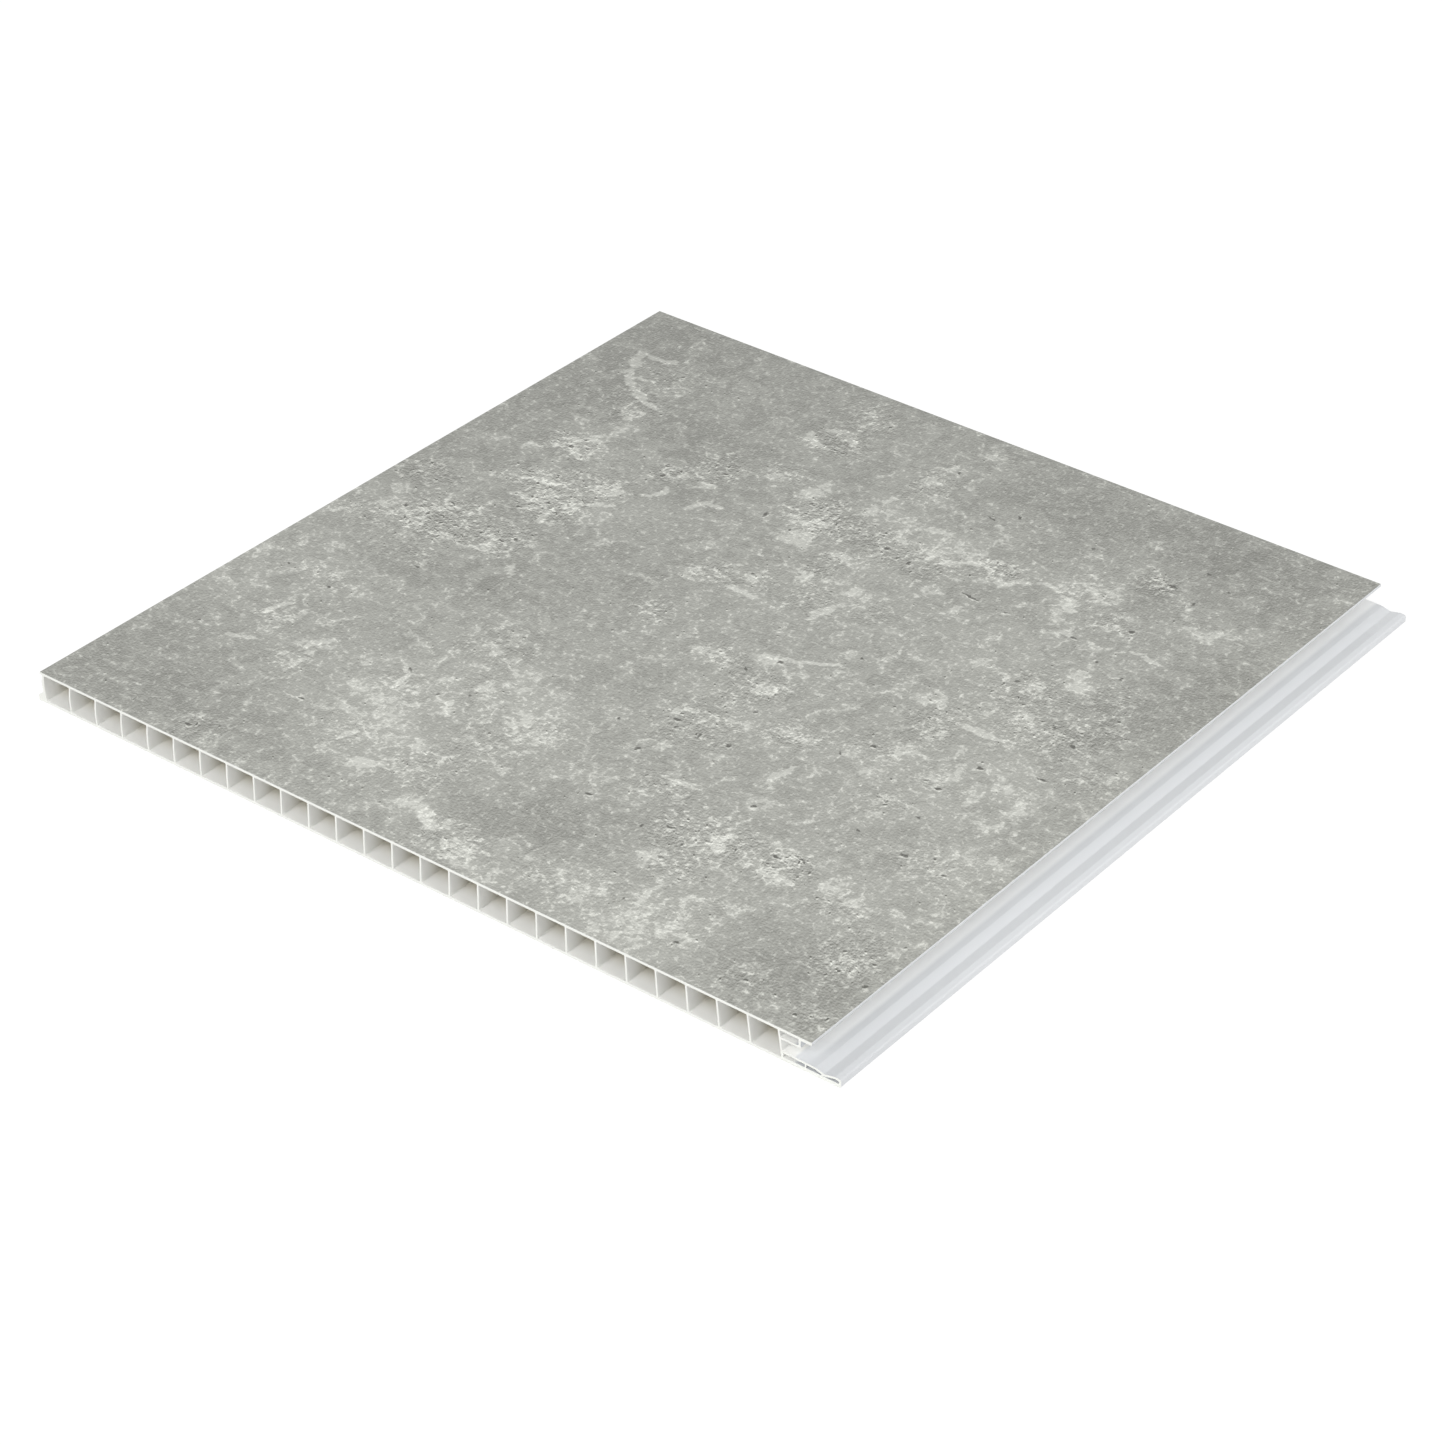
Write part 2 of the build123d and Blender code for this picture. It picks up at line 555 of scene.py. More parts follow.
ROUGH = (
    # Round the pale band
    Spot(112, 192, 16, 14, 0, 0.9),
    Spot(133, 190, 14, 12, 0, 0.65),
    Spot(150, 190, 14, 8, 20, 0.6),
    Spot(166, 200, 10, 7, 0, 0.9),
    Spot(128, 172, 7, 12, 0, 0.7),
    Spot(125, 225, 8, 14, 0, 0.6),
    Spot(90, 245, 10, 12, 0, 0.5),
    Spot(90, 228, 12, 8, 0, 0.8),
    Spot(88, 205, 10, 8, 0, 0.5),
    Spot(72, 195, 9, 10, 0, 0.8),
    Spot(64, 185, 7, 7, 0, 0.7),
    Spot(190, 207, 11, 13, 0, 0.35),
    Spot(204, 222, 8, 6, 0, 0.8),
    Spot(205, 196, 8, 6, 0, 0.6),
    Spot(215, 217, 4, 5, 0, 0.6),
    # Towards the free edge
    Spot(33, 180, 12, 10, 0, 0.8),
    Spot(30, 210, 12, 16, 0, 0.5),
    Spot(28, 230, 14, 10, 0, 0.4),
    Spot(50, 165, 12, 12, 0, 0.8),
    Spot(35, 158, 14, 8, 0, 0.8),
    Spot(48, 150, 14, 12, 0, 1),
    Spot(30, 125, 20, 16, 0, 1),
    Spot(50, 128, 12, 12, 0, 0.8),
    Spot(10, 142, 12, 8, 0, 0.6),
    Spot(12, 115, 12, 8, 0, 0.5),
    Spot(35, 106, 14, 6, 0, 0.4),
    Spot(25, 82, 10, 6, 0, 0.4),
    Spot(30, 60, 8, 6, 0, 0.4),
    Spot(45, 45, 8, 7, 0, 0.5),
    # The middle
    Spot(107, 150, 10, 8, 0, 0.6),
    Spot(118, 155, 6, 6, 0, 0.6),
    Spot(106, 125, 8, 8, 0, 0.5),
    Spot(135, 155, 10, 10, 0, 0.5),
    Spot(150, 160, 8, 8, 0, 0.4),
    Spot(134, 118, 10, 8, 0, 0.6),
    Spot(150, 110, 12, 12, 0, 0.7),
    Spot(148, 88, 16, 14, 0, 0.6),
    Spot(170, 100, 12, 8, 0, 0.6),
    Spot(190, 108, 10, 6, 0, 0.4),
    Spot(212, 105, 8, 6, 0, 0.4),
    Spot(205, 90, 8, 5, 0, 0.4),
    # Towards the lip
    Spot(205, 155, 16, 12, 0, 0.6),
    Spot(218, 140, 18, 12, 0, 0.6),
    Spot(230, 148, 12, 12, 0, 0.5),
    Spot(195, 128, 10, 14, 0, 0.6),
    Spot(225, 165, 12, 12, 0, 0.4),
    Spot(240, 130, 10, 8, 0, 0.4),
    Spot(230, 75, 14, 8, 0, 0.4),
    # Along the front
    Spot(183, 50, 18, 12, 0, 0.8),
    Spot(205, 52, 12, 9, 0, 0.8),
    Spot(170, 45, 8, 8, 0, 0.6),
    Spot(183, 36, 10, 8, 0, 0.7),
    Spot(225, 45, 10, 6, 0, 0.5),
    Spot(238, 30, 12, 14, 0, 0.8),
    Spot(225, 10, 12, 8, 0, 0.4),
    Spot(245, 8, 8, 8, 0, 0.5),
    Spot(172, 15, 14, 14, 0, 0.25),
    Spot(195, 20, 14, 14, 0, 0.2),
    Spot(155, 14, 10, 8, 0, 0.3),
    Spot(132, 10, 14, 12, 0, 0.6),
    Spot(108, 30, 12, 12, 0, 0.5),
    Spot(112, 50, 10, 16, 0, 0.4),
    Spot(120, 60, 10, 8, 0, 0.4),
    Spot(50, 8, 10, 8, 0, 0.5),
    Spot(85, 85, 14, 12, 0, 0.35),
    Spot(95, 65, 14, 12, 0, 0.3),
    Spot(78, 55, 14, 10, 0, 0.3),
    Spot(160, 60, 12, 8, 0, 0.5),
    Spot(80, 30, 14, 10, 0, 0.3),
)

STROKES = (
    # The branching vein
    Spot(14.5, 231, 7, 1.6, -67),
    Spot(17.2, 223.5, 3, 1.5, -80),
    Spot(21.5, 218.8, 6, 1.5, -33),
    Spot(29, 214.3, 5.5, 1.6, -30),
    Spot(35.5, 211.8, 4.5, 1.5, -8),
    Spot(17, 235.5, 5.5, 1.3, -5),
    Spot(22.5, 236.5, 3.5, 1.8, 20),
    Spot(22, 223, 5, 1.1, 12),
    # Rings and arcs
    Spot(81, 227.5, 4, 1.6, -60),
    Spot(86, 224.8, 5, 1.6, -20),
    Spot(85, 234, 4.5, 1.3, 25),
    Spot(93, 231.5, 5, 1.3, -35),
    Spot(66.5, 172.5, 4, 1.2, 45),
    Spot(68, 176, 3, 1.1, 90),
    Spot(80, 175.5, 5, 1.4, 65),
    Spot(84, 178.5, 4, 1.2, -10),
    # Streaks towards the free edge
    Spot(37.5, 158.8, 9, 1.4, 14),
    Spot(42, 148.8, 9, 1.5, 3),
    Spot(51, 144, 6, 1.4, -80),
    Spot(59, 158.5, 6, 1.2, 28),
    Spot(62, 116.5, 4.5, 1.2, -60),
    # The winding line through the pale band
    Spot(153, 195, 5, 1.3, 35),
    Spot(158.5, 199, 4.5, 1.3, 25),
    Spot(163.5, 198.5, 4, 1.4, -40),
    Spot(168, 194.8, 5, 1.4, -30),
    Spot(173, 197.5, 5, 1.4, 55),
    Spot(180, 202, 6, 1.0, -8),
    Spot(162, 203, 4, 1.2, 15),
    # Streaks over the rest
    Spot(140.5, 152.5, 7.5, 1.8, 80),
    Spot(117, 147, 8, 1.3, 2),
    Spot(153, 130, 14, 1.0, 28),
    Spot(208, 131, 11, 1.3, 3),
    Spot(178.5, 84, 8, 1.2, 82),
    Spot(161, 64.5, 8, 1.3, 5),
    Spot(26, 62, 6, 1.1, 70),
    Spot(29, 45.8, 6, 0.9, 22),
    Spot(46.5, 56, 5.5, 1.3, 60),
    Spot(76, 55, 4.5, 1.0, -75),
    Spot(93.5, 54, 6, 1.0, -58),
    Spot(122, 13, 6, 1.6, -50),
    Spot(221, 187.5, 7, 1.0, -8),
)


PITS = (
    Spot(134.7, 190, 1.5, 1.0, 10),
    Spot(167, 183.8, 4.2, 0.45, -10),
    Spot(179, 183.3, 1.1, 0.6, 20),
    Spot(200, 184.1, 1.4, 0.8, -5),
    Spot(210.6, 196.2, 0.9, 1.0, 0),
    Spot(60, 187.8, 1.0, 1.2, 30),
    Spot(62.5, 182.5, 0.8, 1.2, 0),
    Spot(32, 179.2, 1.5, 0.9, -40),
    Spot(98, 183.8, 0.8, 1.6, 0),
    Spot(114.7, 156, 1.3, 0.7, -20),
    Spot(162.4, 140.5, 0.4, 1.5, 0),
    Spot(188.2, 135.3, 1.0, 0.6, 0),
    Spot(17, 124.5, 1.2, 1.0, 0),
    Spot(231, 122.8, 1.8, 0.8, 15),
    Spot(147, 125.3, 1.2, 0.8, 20),
    Spot(216, 117.2, 1.1, 0.8, 30),
    Spot(153.3, 114.9, 1.0, 0.9, 0),
    Spot(189.2, 108.3, 1.1, 0.7, 0),
    Spot(212.8, 103, 1.5, 0.7, 10),
    Spot(156.3, 102, 0.9, 0.9, 0),
    Spot(206.1, 90.3, 1.2, 0.7, -20),
    Spot(142.6, 86.7, 1.3, 0.9, -10),
    Spot(144.8, 83.6, 0.9, 0.9, -30),
    Spot(160.5, 85.5, 0.7, 1.2, 0),
    Spot(161.9, 77.6, 0.9, 0.7, 0),
    Spot(223.3, 74.1, 1.5, 0.9, 10),
    Spot(143.3, 69.9, 1.0, 1.1, 0),
    Spot(181.7, 67.8, 1.1, 1.0, 40),
    Spot(204.3, 57, 3.2, 0.6, -20),
    Spot(199.5, 53.9, 1.8, 0.5, 0),
    Spot(171.5, 47.6, 1.8, 0.6, 25),
    Spot(146.5, 46.2, 1.5, 0.8, 15),
    Spot(177.2, 36, 1.1, 0.7, 0),
    Spot(247, 25, 1.1, 0.9, 30),
    Spot(47, 6.4, 1.2, 0.9, 0),
    Spot(61, 33.5, 1.6, 0.4, 0),
)

DOTS = (
    Spot(126.5, 236.8, 1.0, 0.7, 0),
    Spot(148, 221.8, 2.2, 0.5, -20),
    Spot(154, 227, 1.1, 0.7, -30),
    Spot(179, 225.8, 1.0, 0.7, 0),
    Spot(211, 234.6, 1.0, 0.6, 0),
    Spot(220, 229.8, 0.9, 0.8, 0),
    Spot(206.5, 223, 2.2, 0.6, -5),
    Spot(215.8, 218.5, 0.7, 1.3, 0),
    Spot(143.8, 187.5, 0.8, 0.9, 0),
    Spot(221, 175, 0.8, 1.0, 0),
    Spot(211.6, 178, 0.9, 0.6, 0),
    Spot(200.5, 157, 0.9, 0.7, 0),
    Spot(219.8, 145, 0.6, 1.0, 0),
    Spot(229, 140.4, 1.2, 1.0, 0),
    Spot(53, 129.4, 1.3, 0.6, -40),
    Spot(41.5, 101.5, 1.2, 0.6, -20),
    Spot(87.3, 92.2, 0.7, 0.6, 0),
    Spot(13.2, 81, 0.8, 0.6, 0),
    Spot(30, 78.6, 0.7, 0.9, 0),
    Spot(151.7, 84, 0.5, 1.8, -10),
    Spot(130.6, 77.6, 0.8, 0.7, 0),
    Spot(208.3, 75.7, 0.9, 0.6, 0),
    Spot(235.6, 73, 0.9, 0.6, 0),
    Spot(216.7, 89.8, 1.0, 0.7, 0),
    Spot(184.4, 100.6, 1.4, 0.4, -50),
    Spot(141.7, 117, 1.4, 0.5, -45),
    Spot(165.2, 43.7, 0.8, 0.7, 0),
    Spot(94, 61.8, 0.9, 0.5, 20),
    Spot(74, 61.7, 1.5, 0.5, -20),
    Spot(202, 11, 1.2, 0.7, 0),
    Spot(180.9, 16.9, 0.7, 0.7, 0),
)


@dataclass(frozen=True)
class Group:
    """A group of spots that is stored on the film's points under one name."""

    name: str
    spots: tuple[Spot, ...]
    grain: float  # the size of the random moves that fray the spots' edges, in millimetres
    reach: float  # how far those moves go
    shift: tuple[float, float] = (0.0, 0.0)  # moves all its spots, in millimetres
    octaves: int = 3  # how many sizes of random moves are added up
    seed: int = 1  # of the random moves, which 0 would draw anew each time

    def values(self, points: list[Vector]) -> list[float]:
        """Adds up the spots at each point, where each covers what lies under it.

        Args:
            points: The points, measured from the face's front free corner in millimetres.

        Returns:
            One number for each point.
        """
        noise.seed_set(self.seed)
        tree = kdtree.KDTree(len(points))
        for index, point in enumerate(points):
            drift = noise.turbulence_vector(point / self.grain, self.octaves, False)
            moved = (point.x + drift.x * self.reach, point.y + drift.y * self.reach, 0.0)
            tree.insert(moved, index)
        tree.balance()
        totals = [0.0] * len(points)
        for spot in self.spots:
            middle = Vector((spot.x + self.shift[0], spot.y + self.shift[1], 0.0))
            turn = Matrix.Rotation(math.radians(-spot.turn), 3, "Z")
            for place, index, _ in tree.find_range(middle, max(spot.along, spot.across)):
                local = turn @ (place - middle)
                away = math.hypot(local.x / spot.along, local.y / spot.across)
                share = spot.strength * max(0.0, 1.0 - away**2)
                totals[index] += share * (1.0 - totals[index])
        return totals


GROUPS = (
    Group("shade", SHADES, grain=7.0, reach=4.0),
    Group("cloud", CLOUDS, grain=7.0, reach=4.0),
    Group("rough", ROUGH, grain=7.0, reach=4.0),
    Group("stroke", STROKES, grain=3.5, reach=1.3),
    Group("pit", PITS, grain=1.3, reach=0.5),
    Group("lip", PITS, grain=1.3, reach=0.5, shift=(0.45, -0.55)),
    Group("dot", DOTS, grain=1.3, reach=0.5),
)


@dataclass(frozen=True)
class Mark:
    """A kind of pale mark in the print, which sets in softly as its signal rises."""

    start: float  # the signal's level where the mark begins to show
    full: float  # and where it shows in full
    share: float  # how much it then adds to the tone

    def on(self, signal: Signal) -> Signal:
        """What the mark adds to the tone, from the signal that it follows."""
        return signal.over(self.start, self.full) * self.share


@dataclass(frozen=True)
class Amount:
    """How much there is of something on smooth ground, and how much is added on rough ground."""

    smooth: float
    added: float

    def at(self, rough: Signal) -> Signal:
        """The amount, from how rough the ground is, 0 to 1."""
        return rough * self.added + self.smooth


@dataclass(frozen=True)
class StonePrint:
    """The grey cement pattern printed on the face, under a satin wear layer.

    Tones run from 0, the deep colour, to 1, the bright one.
    """

    deep: Colour = paint(88, 88, 82)
    bright: Colour = paint(236, 237, 229)
    ground: float = 0.232  # the tone of the bare ground
    shade_tone: float = 0.5
    roughness: float = 0.42
    bump_height: float = 0.015  # from deep to bright, in millimetres

    # The random moves that fray the edges of the noise, in millimetres
    fray: Grain = Grain(7.0)
    fray_reach: float = 4.0

    # The field, which says how pale each place is
    cloud_share: float = 0.7
    shade_share: float = 1.1
    billow: Grain = Grain(5.5, detail=5.0, roughness=0.56)
    billow_share: Amount = Amount(0.5, 0.25)
    fleck: Grain = Grain(1.6)
    fleck_share: Amount = Amount(0.12, 0.2)

    # Pale marks
    haze: Mark = Mark(-0.9, 1.5, 0.32)
    island: Mark = Mark(0.26, 0.4, 0.12)
    stroke: Mark = Mark(0.08, 0.45, 0.24)
    stroke_breaks: float = 0.6  # how much the flecks break up the strokes
    speck: Mark = Mark(0.44, 0.7, 0.17)
    speck_field: float = 0.2  # how much the specks gather on pale ground
    speck_rough: float = 0.15  # and on rough ground
    vein: Grain = Grain(6.5, detail=5.0)
    vein_width: Step = (0.06, 0.01)
    vein_field: Step = (0.0, 0.5)
    vein_share: float = 0.06

    # The printed relief, which looks lit from one side
    away: tuple[float, float, float] = (0.33, -0.38, 0.0)  # from its light, in millimetres
    coarse_step: float = 1.4  # how many times as far the coarse relief is compared
    coarse_share: Amount = Amount(0.0, 0.09)
    fine: Grain = Grain(0.7)
    fine_share: Amount = Amount(0.058, 0.1)
    fine_tone: float = 0.035

    # Dark pits, each with a pale lip
    pit: Grain = Grain(1.7, detail=1.0, roughness=0.5)
    pit_share: Amount = Amount(-0.94, 0.46)
    pit_edge: Step = (0.0, 0.1)
    drawn_pit_edge: Step = (0.1, 0.8)
    drawn_dot_edge: Step = (0.1, 0.9)
    pit_tone: float = 0.36
    lip_tone: float = 0.32

    def material(self, corner: tuple[float, float, float]) -> bpy.types.Material:
        """Builds the material.

        Args:
            corner: The face's front free corner, in millimetres, from which the spots are measured.

        Returns:
            The material.
        """
        graph = Graph(bpy.data.materials.new("stone_print"))
        place = graph.place() - corner
        frayed = graph.stir(place, self.fray, self.fray_reach)
        lightward = place - self.away
        far_lightward = place - tuple(part * self.coarse_step for part in self.away)
        stored = (graph.stored(group.name) for group in GROUPS)
        shade, clouds, rough, strokes, drawn_pits, drawn_lips, drawn_dots = stored

        billow = graph.noise(frayed, self.billow)
        fleck = graph.noise(place, self.fleck)
        field = clouds * self.cloud_share + shade * self.shade_share
        field = field + billow * self.billow_share.at(rough) + fleck * self.fleck_share.at(rough)

        stroke = strokes * (fleck * self.stroke_breaks + 1)
        speck = fleck + field * self.speck_field + rough * self.speck_rough
        vein = abs(graph.noise(frayed, self.vein)).over(*self.vein_width)
        vein = vein * field.over(*self.vein_field)

        # Lighter where the grain rises away from the light
        fine = graph.noise(place, self.fine)
        coarse_rise = fleck - graph.noise(far_lightward, self.fleck)
        fine_rise = fine - graph.noise(lightward, self.fine)
        relief = coarse_rise * self.coarse_share.at(rough) + fine_rise * self.fine_share.at(rough)

        # A lip lies on the far side of its pit from the light
        spread = self.pit_share.at(rough)
        pits = (graph.noise(place, self.pit) + spread).over(*self.pit_edge)
        pits = pits + drawn_pits.over(*self.drawn_pit_edge)
        pits = pits + drawn_dots.over(*self.drawn_dot_edge)
        lips = (graph.noise(far_lightward, self.pit) + spread).over(*self.pit_edge)
        lips = lips + drawn_lips.over(*self.drawn_pit_edge)
        lips = graph.maths(Maths.MAXIMUM, lips - pits, 0.0)

        tone = self.ground + shade * self.shade_tone + relief + fine * self.fine_tone
        tone = tone + self.haze.on(field) + self.island.on(field) + self.stroke.on(stroke)
        tone = tone + vein * self.vein_share + self.speck.on(speck)
        tone = tone - pits * self.pit_tone + lips * self.lip_tone
        graph.finish(
            "ShaderNodeBsdfPrincipled",
            {
                "Base Color": graph.mix(tone, self.deep, self.bright),
                "Roughness": self.roughness,
                "Normal": graph.bump(tone, self.bump_height),
            },
        )
        return graph.owner


@dataclass(frozen=True)
class WhitePvc:
    """Rigid white PVC: satin where it left the die, chalky where it was sawn."""

    body: Colour = paint(239, 239, 236)
    deep: Colour = paint(194, 187, 166)  # painted shade inside the cells, away from their mouths
    groove_painted_light: Colour = paint(242, 243, 243)  # painted light in the shaded groove under the lip
    # Painted shade and a painted bluish sky reflection: the flange greyer and bluer than the body's
    # PVC
    flange: Colour = paint(210, 212, 214)
    flange_front_shade: Colour = paint(203, 205, 207)  # painted shade on the flange at the near end
    sawn: Colour = paint(219, 220, 215)
    drawn_roughness: float = 0.34
    sawn_roughness: float = 0.7

    # Where these change over, in millimetres from the panel's middle line and from its back
    first_cell: Step = (-127.4, -127.2)
    last_cell: Step = (112.0, 112.2)
    groove_start: Step = (116.0, 117.0)
    flange_start: Step = (119.5, 121.2)
    cell_floor: Step = (0.3, 0.5)

    # And in millimetres from the sawn ends, the last two from the near one
    saw_cut: Step = (0.03, 0.01)
    # Where the painted shade inside the cells fades out towards the sawn ends
    unshaded_cell_mouth: Step = (11.0, 2.0)
    groove_light_fade: float = 14.0
    flange_shade_fade: float = 70.0

    # The fine lines of the die and the marks of the saw
    lines: Grain = Grain(0.6)
    line_stretch: tuple[float, float, float] = (1.0, 0.012, 1.0)
    line_height: float = 0.35  # of the saw marks' height
    saw: Grain = Grain(0.35, roughness=0.7)
    saw_stretch: tuple[float, float, float] = (1.0, 1.0, 2.5)
    saw_height: float = 0.02  # millimetres

    def material(self, half_length: float) -> bpy.types.Material:
        """Builds the material.

        Args:
            half_length: From the middle of the panel to each sawn end, in millimetres.

        Returns:
            The material.
        """
        graph = Graph(bpy.data.materials.new("white_pvc"))
        place = graph.place()
        across, along, up = place.axes()
        from_middle = abs(along)
        sawn = from_middle.over(*(half_length - depth for depth in self.saw_cut))
        unshaded_mouth = from_middle.over(*(half_length - depth for depth in self.unshaded_cell_mouth))
        shaded_cells = across.over(*self.first_cell) * (1 - across.over(*self.last_cell))
        shaded_cells = shaded_cells * up.over(*self.cell_floor)
        # Painted shade: the cells' inside darker away from their mouths at the sawn ends
        body = graph.mix(shaded_cells * (1 - unshaded_mouth), self.body, self.deep)
        # Painted light: the shaded groove under the lip painted brighter, from a little way in from
        # the near end
        inwards = along.over(-half_length, self.groove_light_fade - half_length)
        groove_painted_light = graph.mix(inwards, self.flange, self.groove_painted_light)
        # Painted shade: the flange darker towards the near end
        inwards = along.over(-half_length, self.flange_shade_fade - half_length)
        flange = graph.mix(inwards, self.flange_front_shade, self.flange)
        drawn = graph.mix(across.over(*self.groove_start), body, groove_painted_light)
        drawn = graph.mix(across.over(*self.flange_start), drawn, flange)

        roughness = sawn * (self.sawn_roughness - self.drawn_roughness) + self.drawn_roughness
        lines = graph.solid_noise(place * self.line_stretch, self.lines)
        saw = graph.solid_noise(place * self.saw_stretch, self.saw)
        height = lines * (1 - sawn) * self.line_height + saw * sawn
        graph.finish(
            "ShaderNodeBsdfPrincipled",
            {
                "Base Color": graph.mix(sawn, drawn, self.sawn),
                "Roughness": roughness,
                "Normal": graph.bump(height, self.saw_height),
            },
        )
        return graph.owner


@dataclass
class Extrusion:
    """The extruded panel itself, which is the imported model's own solid."""

    node: bpy.types.Object
    finish: WhitePvc

    def dress(self) -> None:
        """Gives the solid its plastic finish."""
        _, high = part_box(PANEL_NODE)
        self.node.data.materials.clear()
        self.node.data.materials.append(self.finish.material(high.y / MM))
        LOG.info("dressed %s, %d faces", self.node.name, len(self.node.data.polygons))


@dataclass
class PrintedFace:
    """The printed film on the top skin, from the free edge to the lip and from cut to cut."""

    finish: StonePrint
    cover_width: float = 250.0  # the face, from its free edge to the tip of the lip
    free_edge: float = 1.0  # from the foot's tip, the lowest X of the solid, to the face
    edge_margin: float = 0.12  # from both edges of the face to the film
    thickness: float = 0.04  # above the skin
    sink: float = 0.01  # into the skin
    edge_round: float = 0.015
    mesh_size: float = 2.0  # the longest edge of its mesh, and the same near strokes and pits
    stroke_mesh: float = 1.1
    pit_mesh: float = 0.35
    refine_margin: float = 1.0  # how far round a stroke or pit its mesh is finer

    def build(self) -> bpy.types.Object:
        """Makes the film and lays it on the face.

        Returns:
            The film.
        """
        low, high = (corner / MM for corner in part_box(PANEL_NODE))
        corner = Vector((low.x + self.free_edge, low.y, high.z + self.thickness))
        width = self.cover_width - 2 * self.edge_margin
        length = high.y - low.y
        sheet = bmesh.new()
        bmesh.ops.create_grid(
            sheet,
            x_segments=round(width / self.mesh_size),
            y_segments=round(length / self.mesh_size),
            size=0.5,
        )
        bmesh.ops.scale(sheet, vec=(width, length, 1.0), verts=sheet.verts)
        bmesh.ops.translate(sheet, vec=(self.cover_width / 2, length / 2, 0.0), verts=sheet.verts)
        self._refine(sheet, STROKES, self.stroke_mesh)
        self._refine(sheet, PITS + DOTS, self.pit_mesh)
        self._thicken(sheet)
        mesh = bpy.data.meshes.new("printed_face")
        sheet.to_mesh(mesh)
        sheet.free()
        points = [vertex.co.copy() for vertex in mesh.vertices]
        for group in GROUPS:
            store = mesh.attributes.new(group.name, "FLOAT", "POINT")
            store.data.foreach_set("value", group.values(points))
        mesh.transform(Matrix.Scale(MM, 4) @ Matrix.Translation(corner))
        film = bpy.data.objects.new("printed_face", mesh)
        bpy.context.scene.collection.objects.link(film)
        film.data.materials.append(self.finish.material(corner))
        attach(film, BODY)
        faces = len(mesh.polygons)
        LOG.info("laid %s, %.1f by %.1f mm, %d faces", film.name, width, length, faces)
        return film

    def _refine(self, sheet: bmesh.types.BMesh, spots: tuple[Spot, ...], longest: float) -> None:
        """Halves the edges round some spots until none there is longer than asked.

        Args:
            sheet: The flat film.
            spots: Where it needs a finer mesh.
            longest: The longest edge to leave there, in millimetres.
        """
        while True:
            edges = list(sheet.edges)
            tree = kdtree.KDTree(len(edges))
            for index, edge in enumerate(edges):
                tree.insert((edge.verts[0].co + edge.verts[1].co) / 2, index)
            tree.balance()
            near = set()
            for spot in spots:
                reach = max(spot.along, spot.across) + self.refine_margin
                near |= {index for _, index, _ in tree.find_range((spot.x, spot.y, 0.0), reach)}
            long_edges = [edges[index] for index in sorted(near)]
            long_edges = [edge for edge in long_edges if edge.calc_length() > longest]
            if not long_edges:
                return
            bmesh.ops.subdivide_edges(sheet, edges=long_edges, cuts=1, use_grid_fill=True)

    def _thicken(self, sheet: bmesh.types.BMesh) -> None:
        """Gives the flat film its rounded rim, its sides and its underside."""
        rim = [edge for edge in sheet.edges if edge.is_boundary]
        sides = bmesh.ops.extrude_edge_only(sheet, edges=rim)["geom"]
        foot = [item for item in sides if isinstance(item, bmesh.types.BMVert)]
        bmesh.ops.translate(sheet, vec=(0.0, 0.0, -self.thickness - self.sink), verts=foot)
        bmesh.ops.contextual_create(sheet, geom=[edge for edge in sheet.edges if edge.is_boundary])
        bmesh.ops.bevel(
            sheet,
            geom=rim,
            offset=self.edge_round,
            offset_type="OFFSET",
            affect="EDGES",
            segments=2,
            profile=0.5,
            material=-1,
        )
        bmesh.ops.recalc_face_normals(sheet, faces=sheet.faces)


@dataclass(frozen=True)
class SoftBox:
    """A large square lamp that faces the panel."""

    name: str
    azimuth: float  # 0 shines along +Y, and 90 along -X
    elevation: float
    distance: float  # metres
    width: float  # metres
    power: float  # watts

    def light(self) -> None:
        """Hangs the lamp."""
        lamp = bpy.data.lights.new(self.name, "AREA")
        lamp.shape = "SQUARE"
        lamp.size = self.width
        lamp.energy = self.power
        holder = bpy.data.objects.new(self.name, lamp)
        bpy.context.scene.collection.objects.link(holder)
        away = direction(self.azimuth, self.elevation)
        holder.matrix_world = aimed(away * self.distance, -away)


def direction(azimuth: float, elevation: float) -> Vector:
    """The way from the panel to something at a given azimuth and elevation, in degrees."""
    turn, rise = math.radians(azimuth), math.radians(elevation)
    level = math.cos(rise)
    return Vector((math.sin(turn) * level, -math.cos(turn) * level, math.sin(rise)))


def aimed(position: Vector, forward: Vector, roll: float = 0.0) -> Matrix:
    """Places a camera or a lamp.

    Args:
        position: Where it stands, in metres.
        forward: The way it looks.
        roll: How far it leans anticlockwise, in degrees.

    Returns:
        Its transform.
    """
    turn = forward.to_track_quat("-Z", "Y").to_matrix().to_4x4()
    return Matrix.Translation(position) @ turn @ Matrix.Rotation(math.radians(roll), 4, "Z")


@dataclass(frozen=True)
class StudioCamera:
    """The camera, fitted to the four edges of the face."""

    azimuth: float = 36.908
    elevation: float = 33.413
    roll: float = 1.192
    distance: float = 1.0603  # metres
    aim: tuple[float, float, float] = (0.01969, -0.03157, 0.0045)  # metres
    lens: float = 102.18
    film: float = 36.0  # its width

    def place(self) -> None:
        """Sets the camera up."""
        data = bpy.data.cameras.new("camera")
        data.lens = self.lens
        data.sensor_width = self.film
        data.sensor_fit = "HORIZONTAL"
        camera = bpy.data.objects.new("camera", data)
        bpy.context.scene.collection.objects.link(camera)
        away = direction(self.azimuth, self.elevation)
        camera.matrix_world = aimed(Vector(self.aim) + away * self.distance, -away, self.roll)
        bpy.context.scene.camera = camera


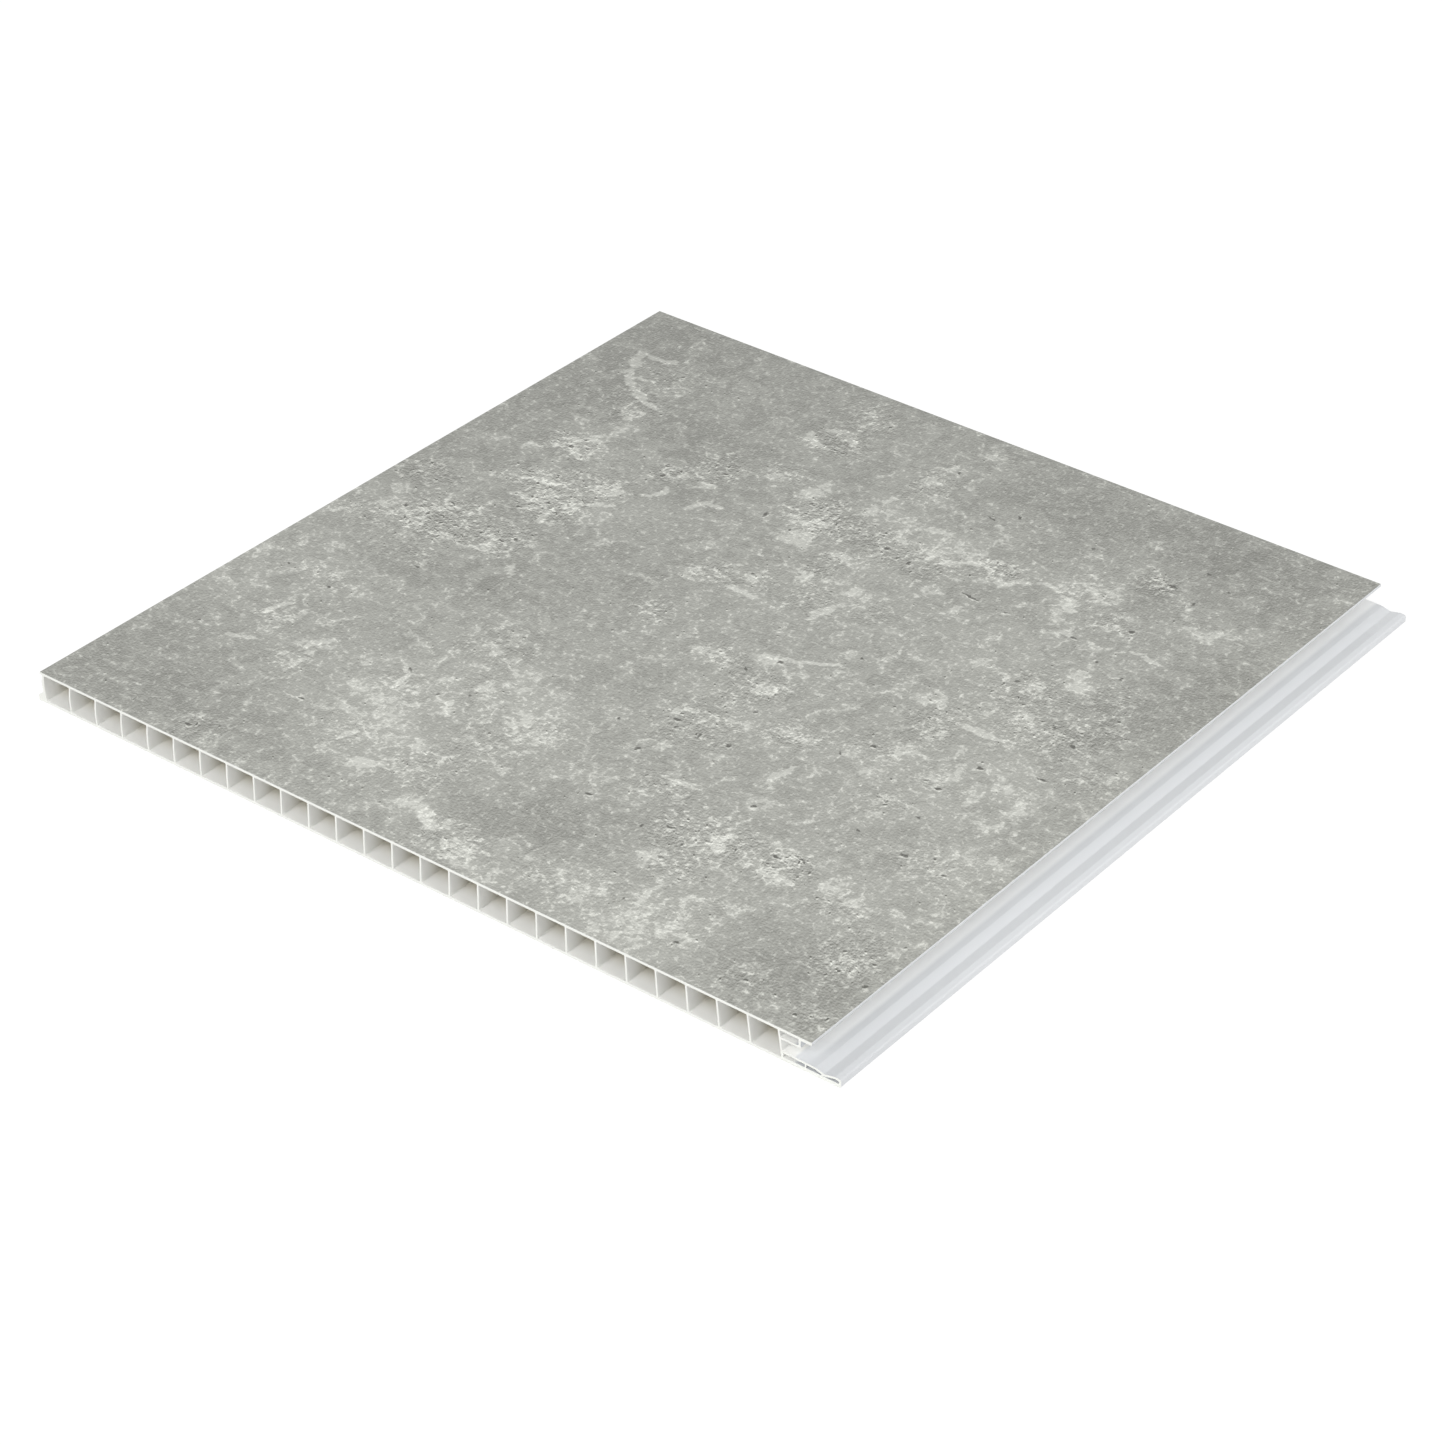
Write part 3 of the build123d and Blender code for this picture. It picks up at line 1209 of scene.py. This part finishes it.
@dataclass
class Studio:
    """A white table under a soft white sky."""

    sky: float = 0.42  # how much it lights the panel
    shadow: float = 0.07  # how dark the panel's shadow shows on the table at most
    table: float = 0.92  # how much light the table throws back on the panel
    table_gain: float = 1.5  # how brightly the lit table shows, of what makes it just white
    table_width: float = 8.0  # metres
    table_drop: float = 0.0001  # metres under the panel
    lamps: tuple[SoftBox, ...] = (
        SoftBox("key", azimuth=5.0, elevation=34.0, distance=2.2, width=1.4, power=35.0),
        SoftBox("fill", azimuth=92.0, elevation=40.0, distance=2.2, width=1.0, power=20.0),
    )

    def build(self) -> None:
        """Makes the table, the sky, the lamps and the camera."""
        self._table()
        self._sky()
        for lamp in self.lamps:
            lamp.light()
        StudioCamera().place()
        LOG.info("set up the table, the sky, %d lamps and the camera", len(self.lamps))

    def _table(self) -> None:
        """Lays the table, which shows white and keeps a faint shadow."""
        top = bmesh.new()
        bmesh.ops.create_grid(top, x_segments=1, y_segments=1, size=self.table_width / 2)
        bmesh.ops.translate(top, vec=(0, 0, -self.table_drop), verts=top.verts)
        mesh = bpy.data.meshes.new("table")
        top.to_mesh(mesh)
        top.free()
        table = bpy.data.objects.new("table", mesh)
        bpy.context.scene.collection.objects.link(table)
        graph = Graph(bpy.data.materials.new("table_white"))
        shown = graph.shown()
        lit = grey(self.table_gain * self.shadow)
        graph.finish(
            "ShaderNodeBsdfPrincipled",
            {
                "Base Color": graph.mix(shown, grey(self.table), lit),
                "Roughness": 1.0,
                "Specular IOR Level": 0.0,
                "Emission Color": graph.mix(shown, grey(0.0), grey(1.0 - self.shadow)),
                "Emission Strength": 1.0,
            },
        )
        table.data.materials.append(graph.owner)

    def _sky(self) -> None:
        """Lights the scene from all round, and shows white."""
        graph = Graph(bpy.data.worlds.new("sky"))
        graph.finish(
            "ShaderNodeBackground",
            {"Color": graph.mix(graph.shown(), grey(self.sky), grey(1.0)), "Strength": 1.0},
        )
        bpy.context.scene.world = graph.owner


def main() -> None:
    """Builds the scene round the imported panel."""
    logging.basicConfig(level=logging.INFO, format="%(name)s: %(message)s")
    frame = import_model()
    bpy.context.scene.view_settings.view_transform = "Standard"
    Extrusion(frame["nodes"][PANEL_NODE], WhitePvc()).dress()
    PrintedFace(StonePrint()).build()
    Studio().build()


if __name__ == "__main__":
    main()
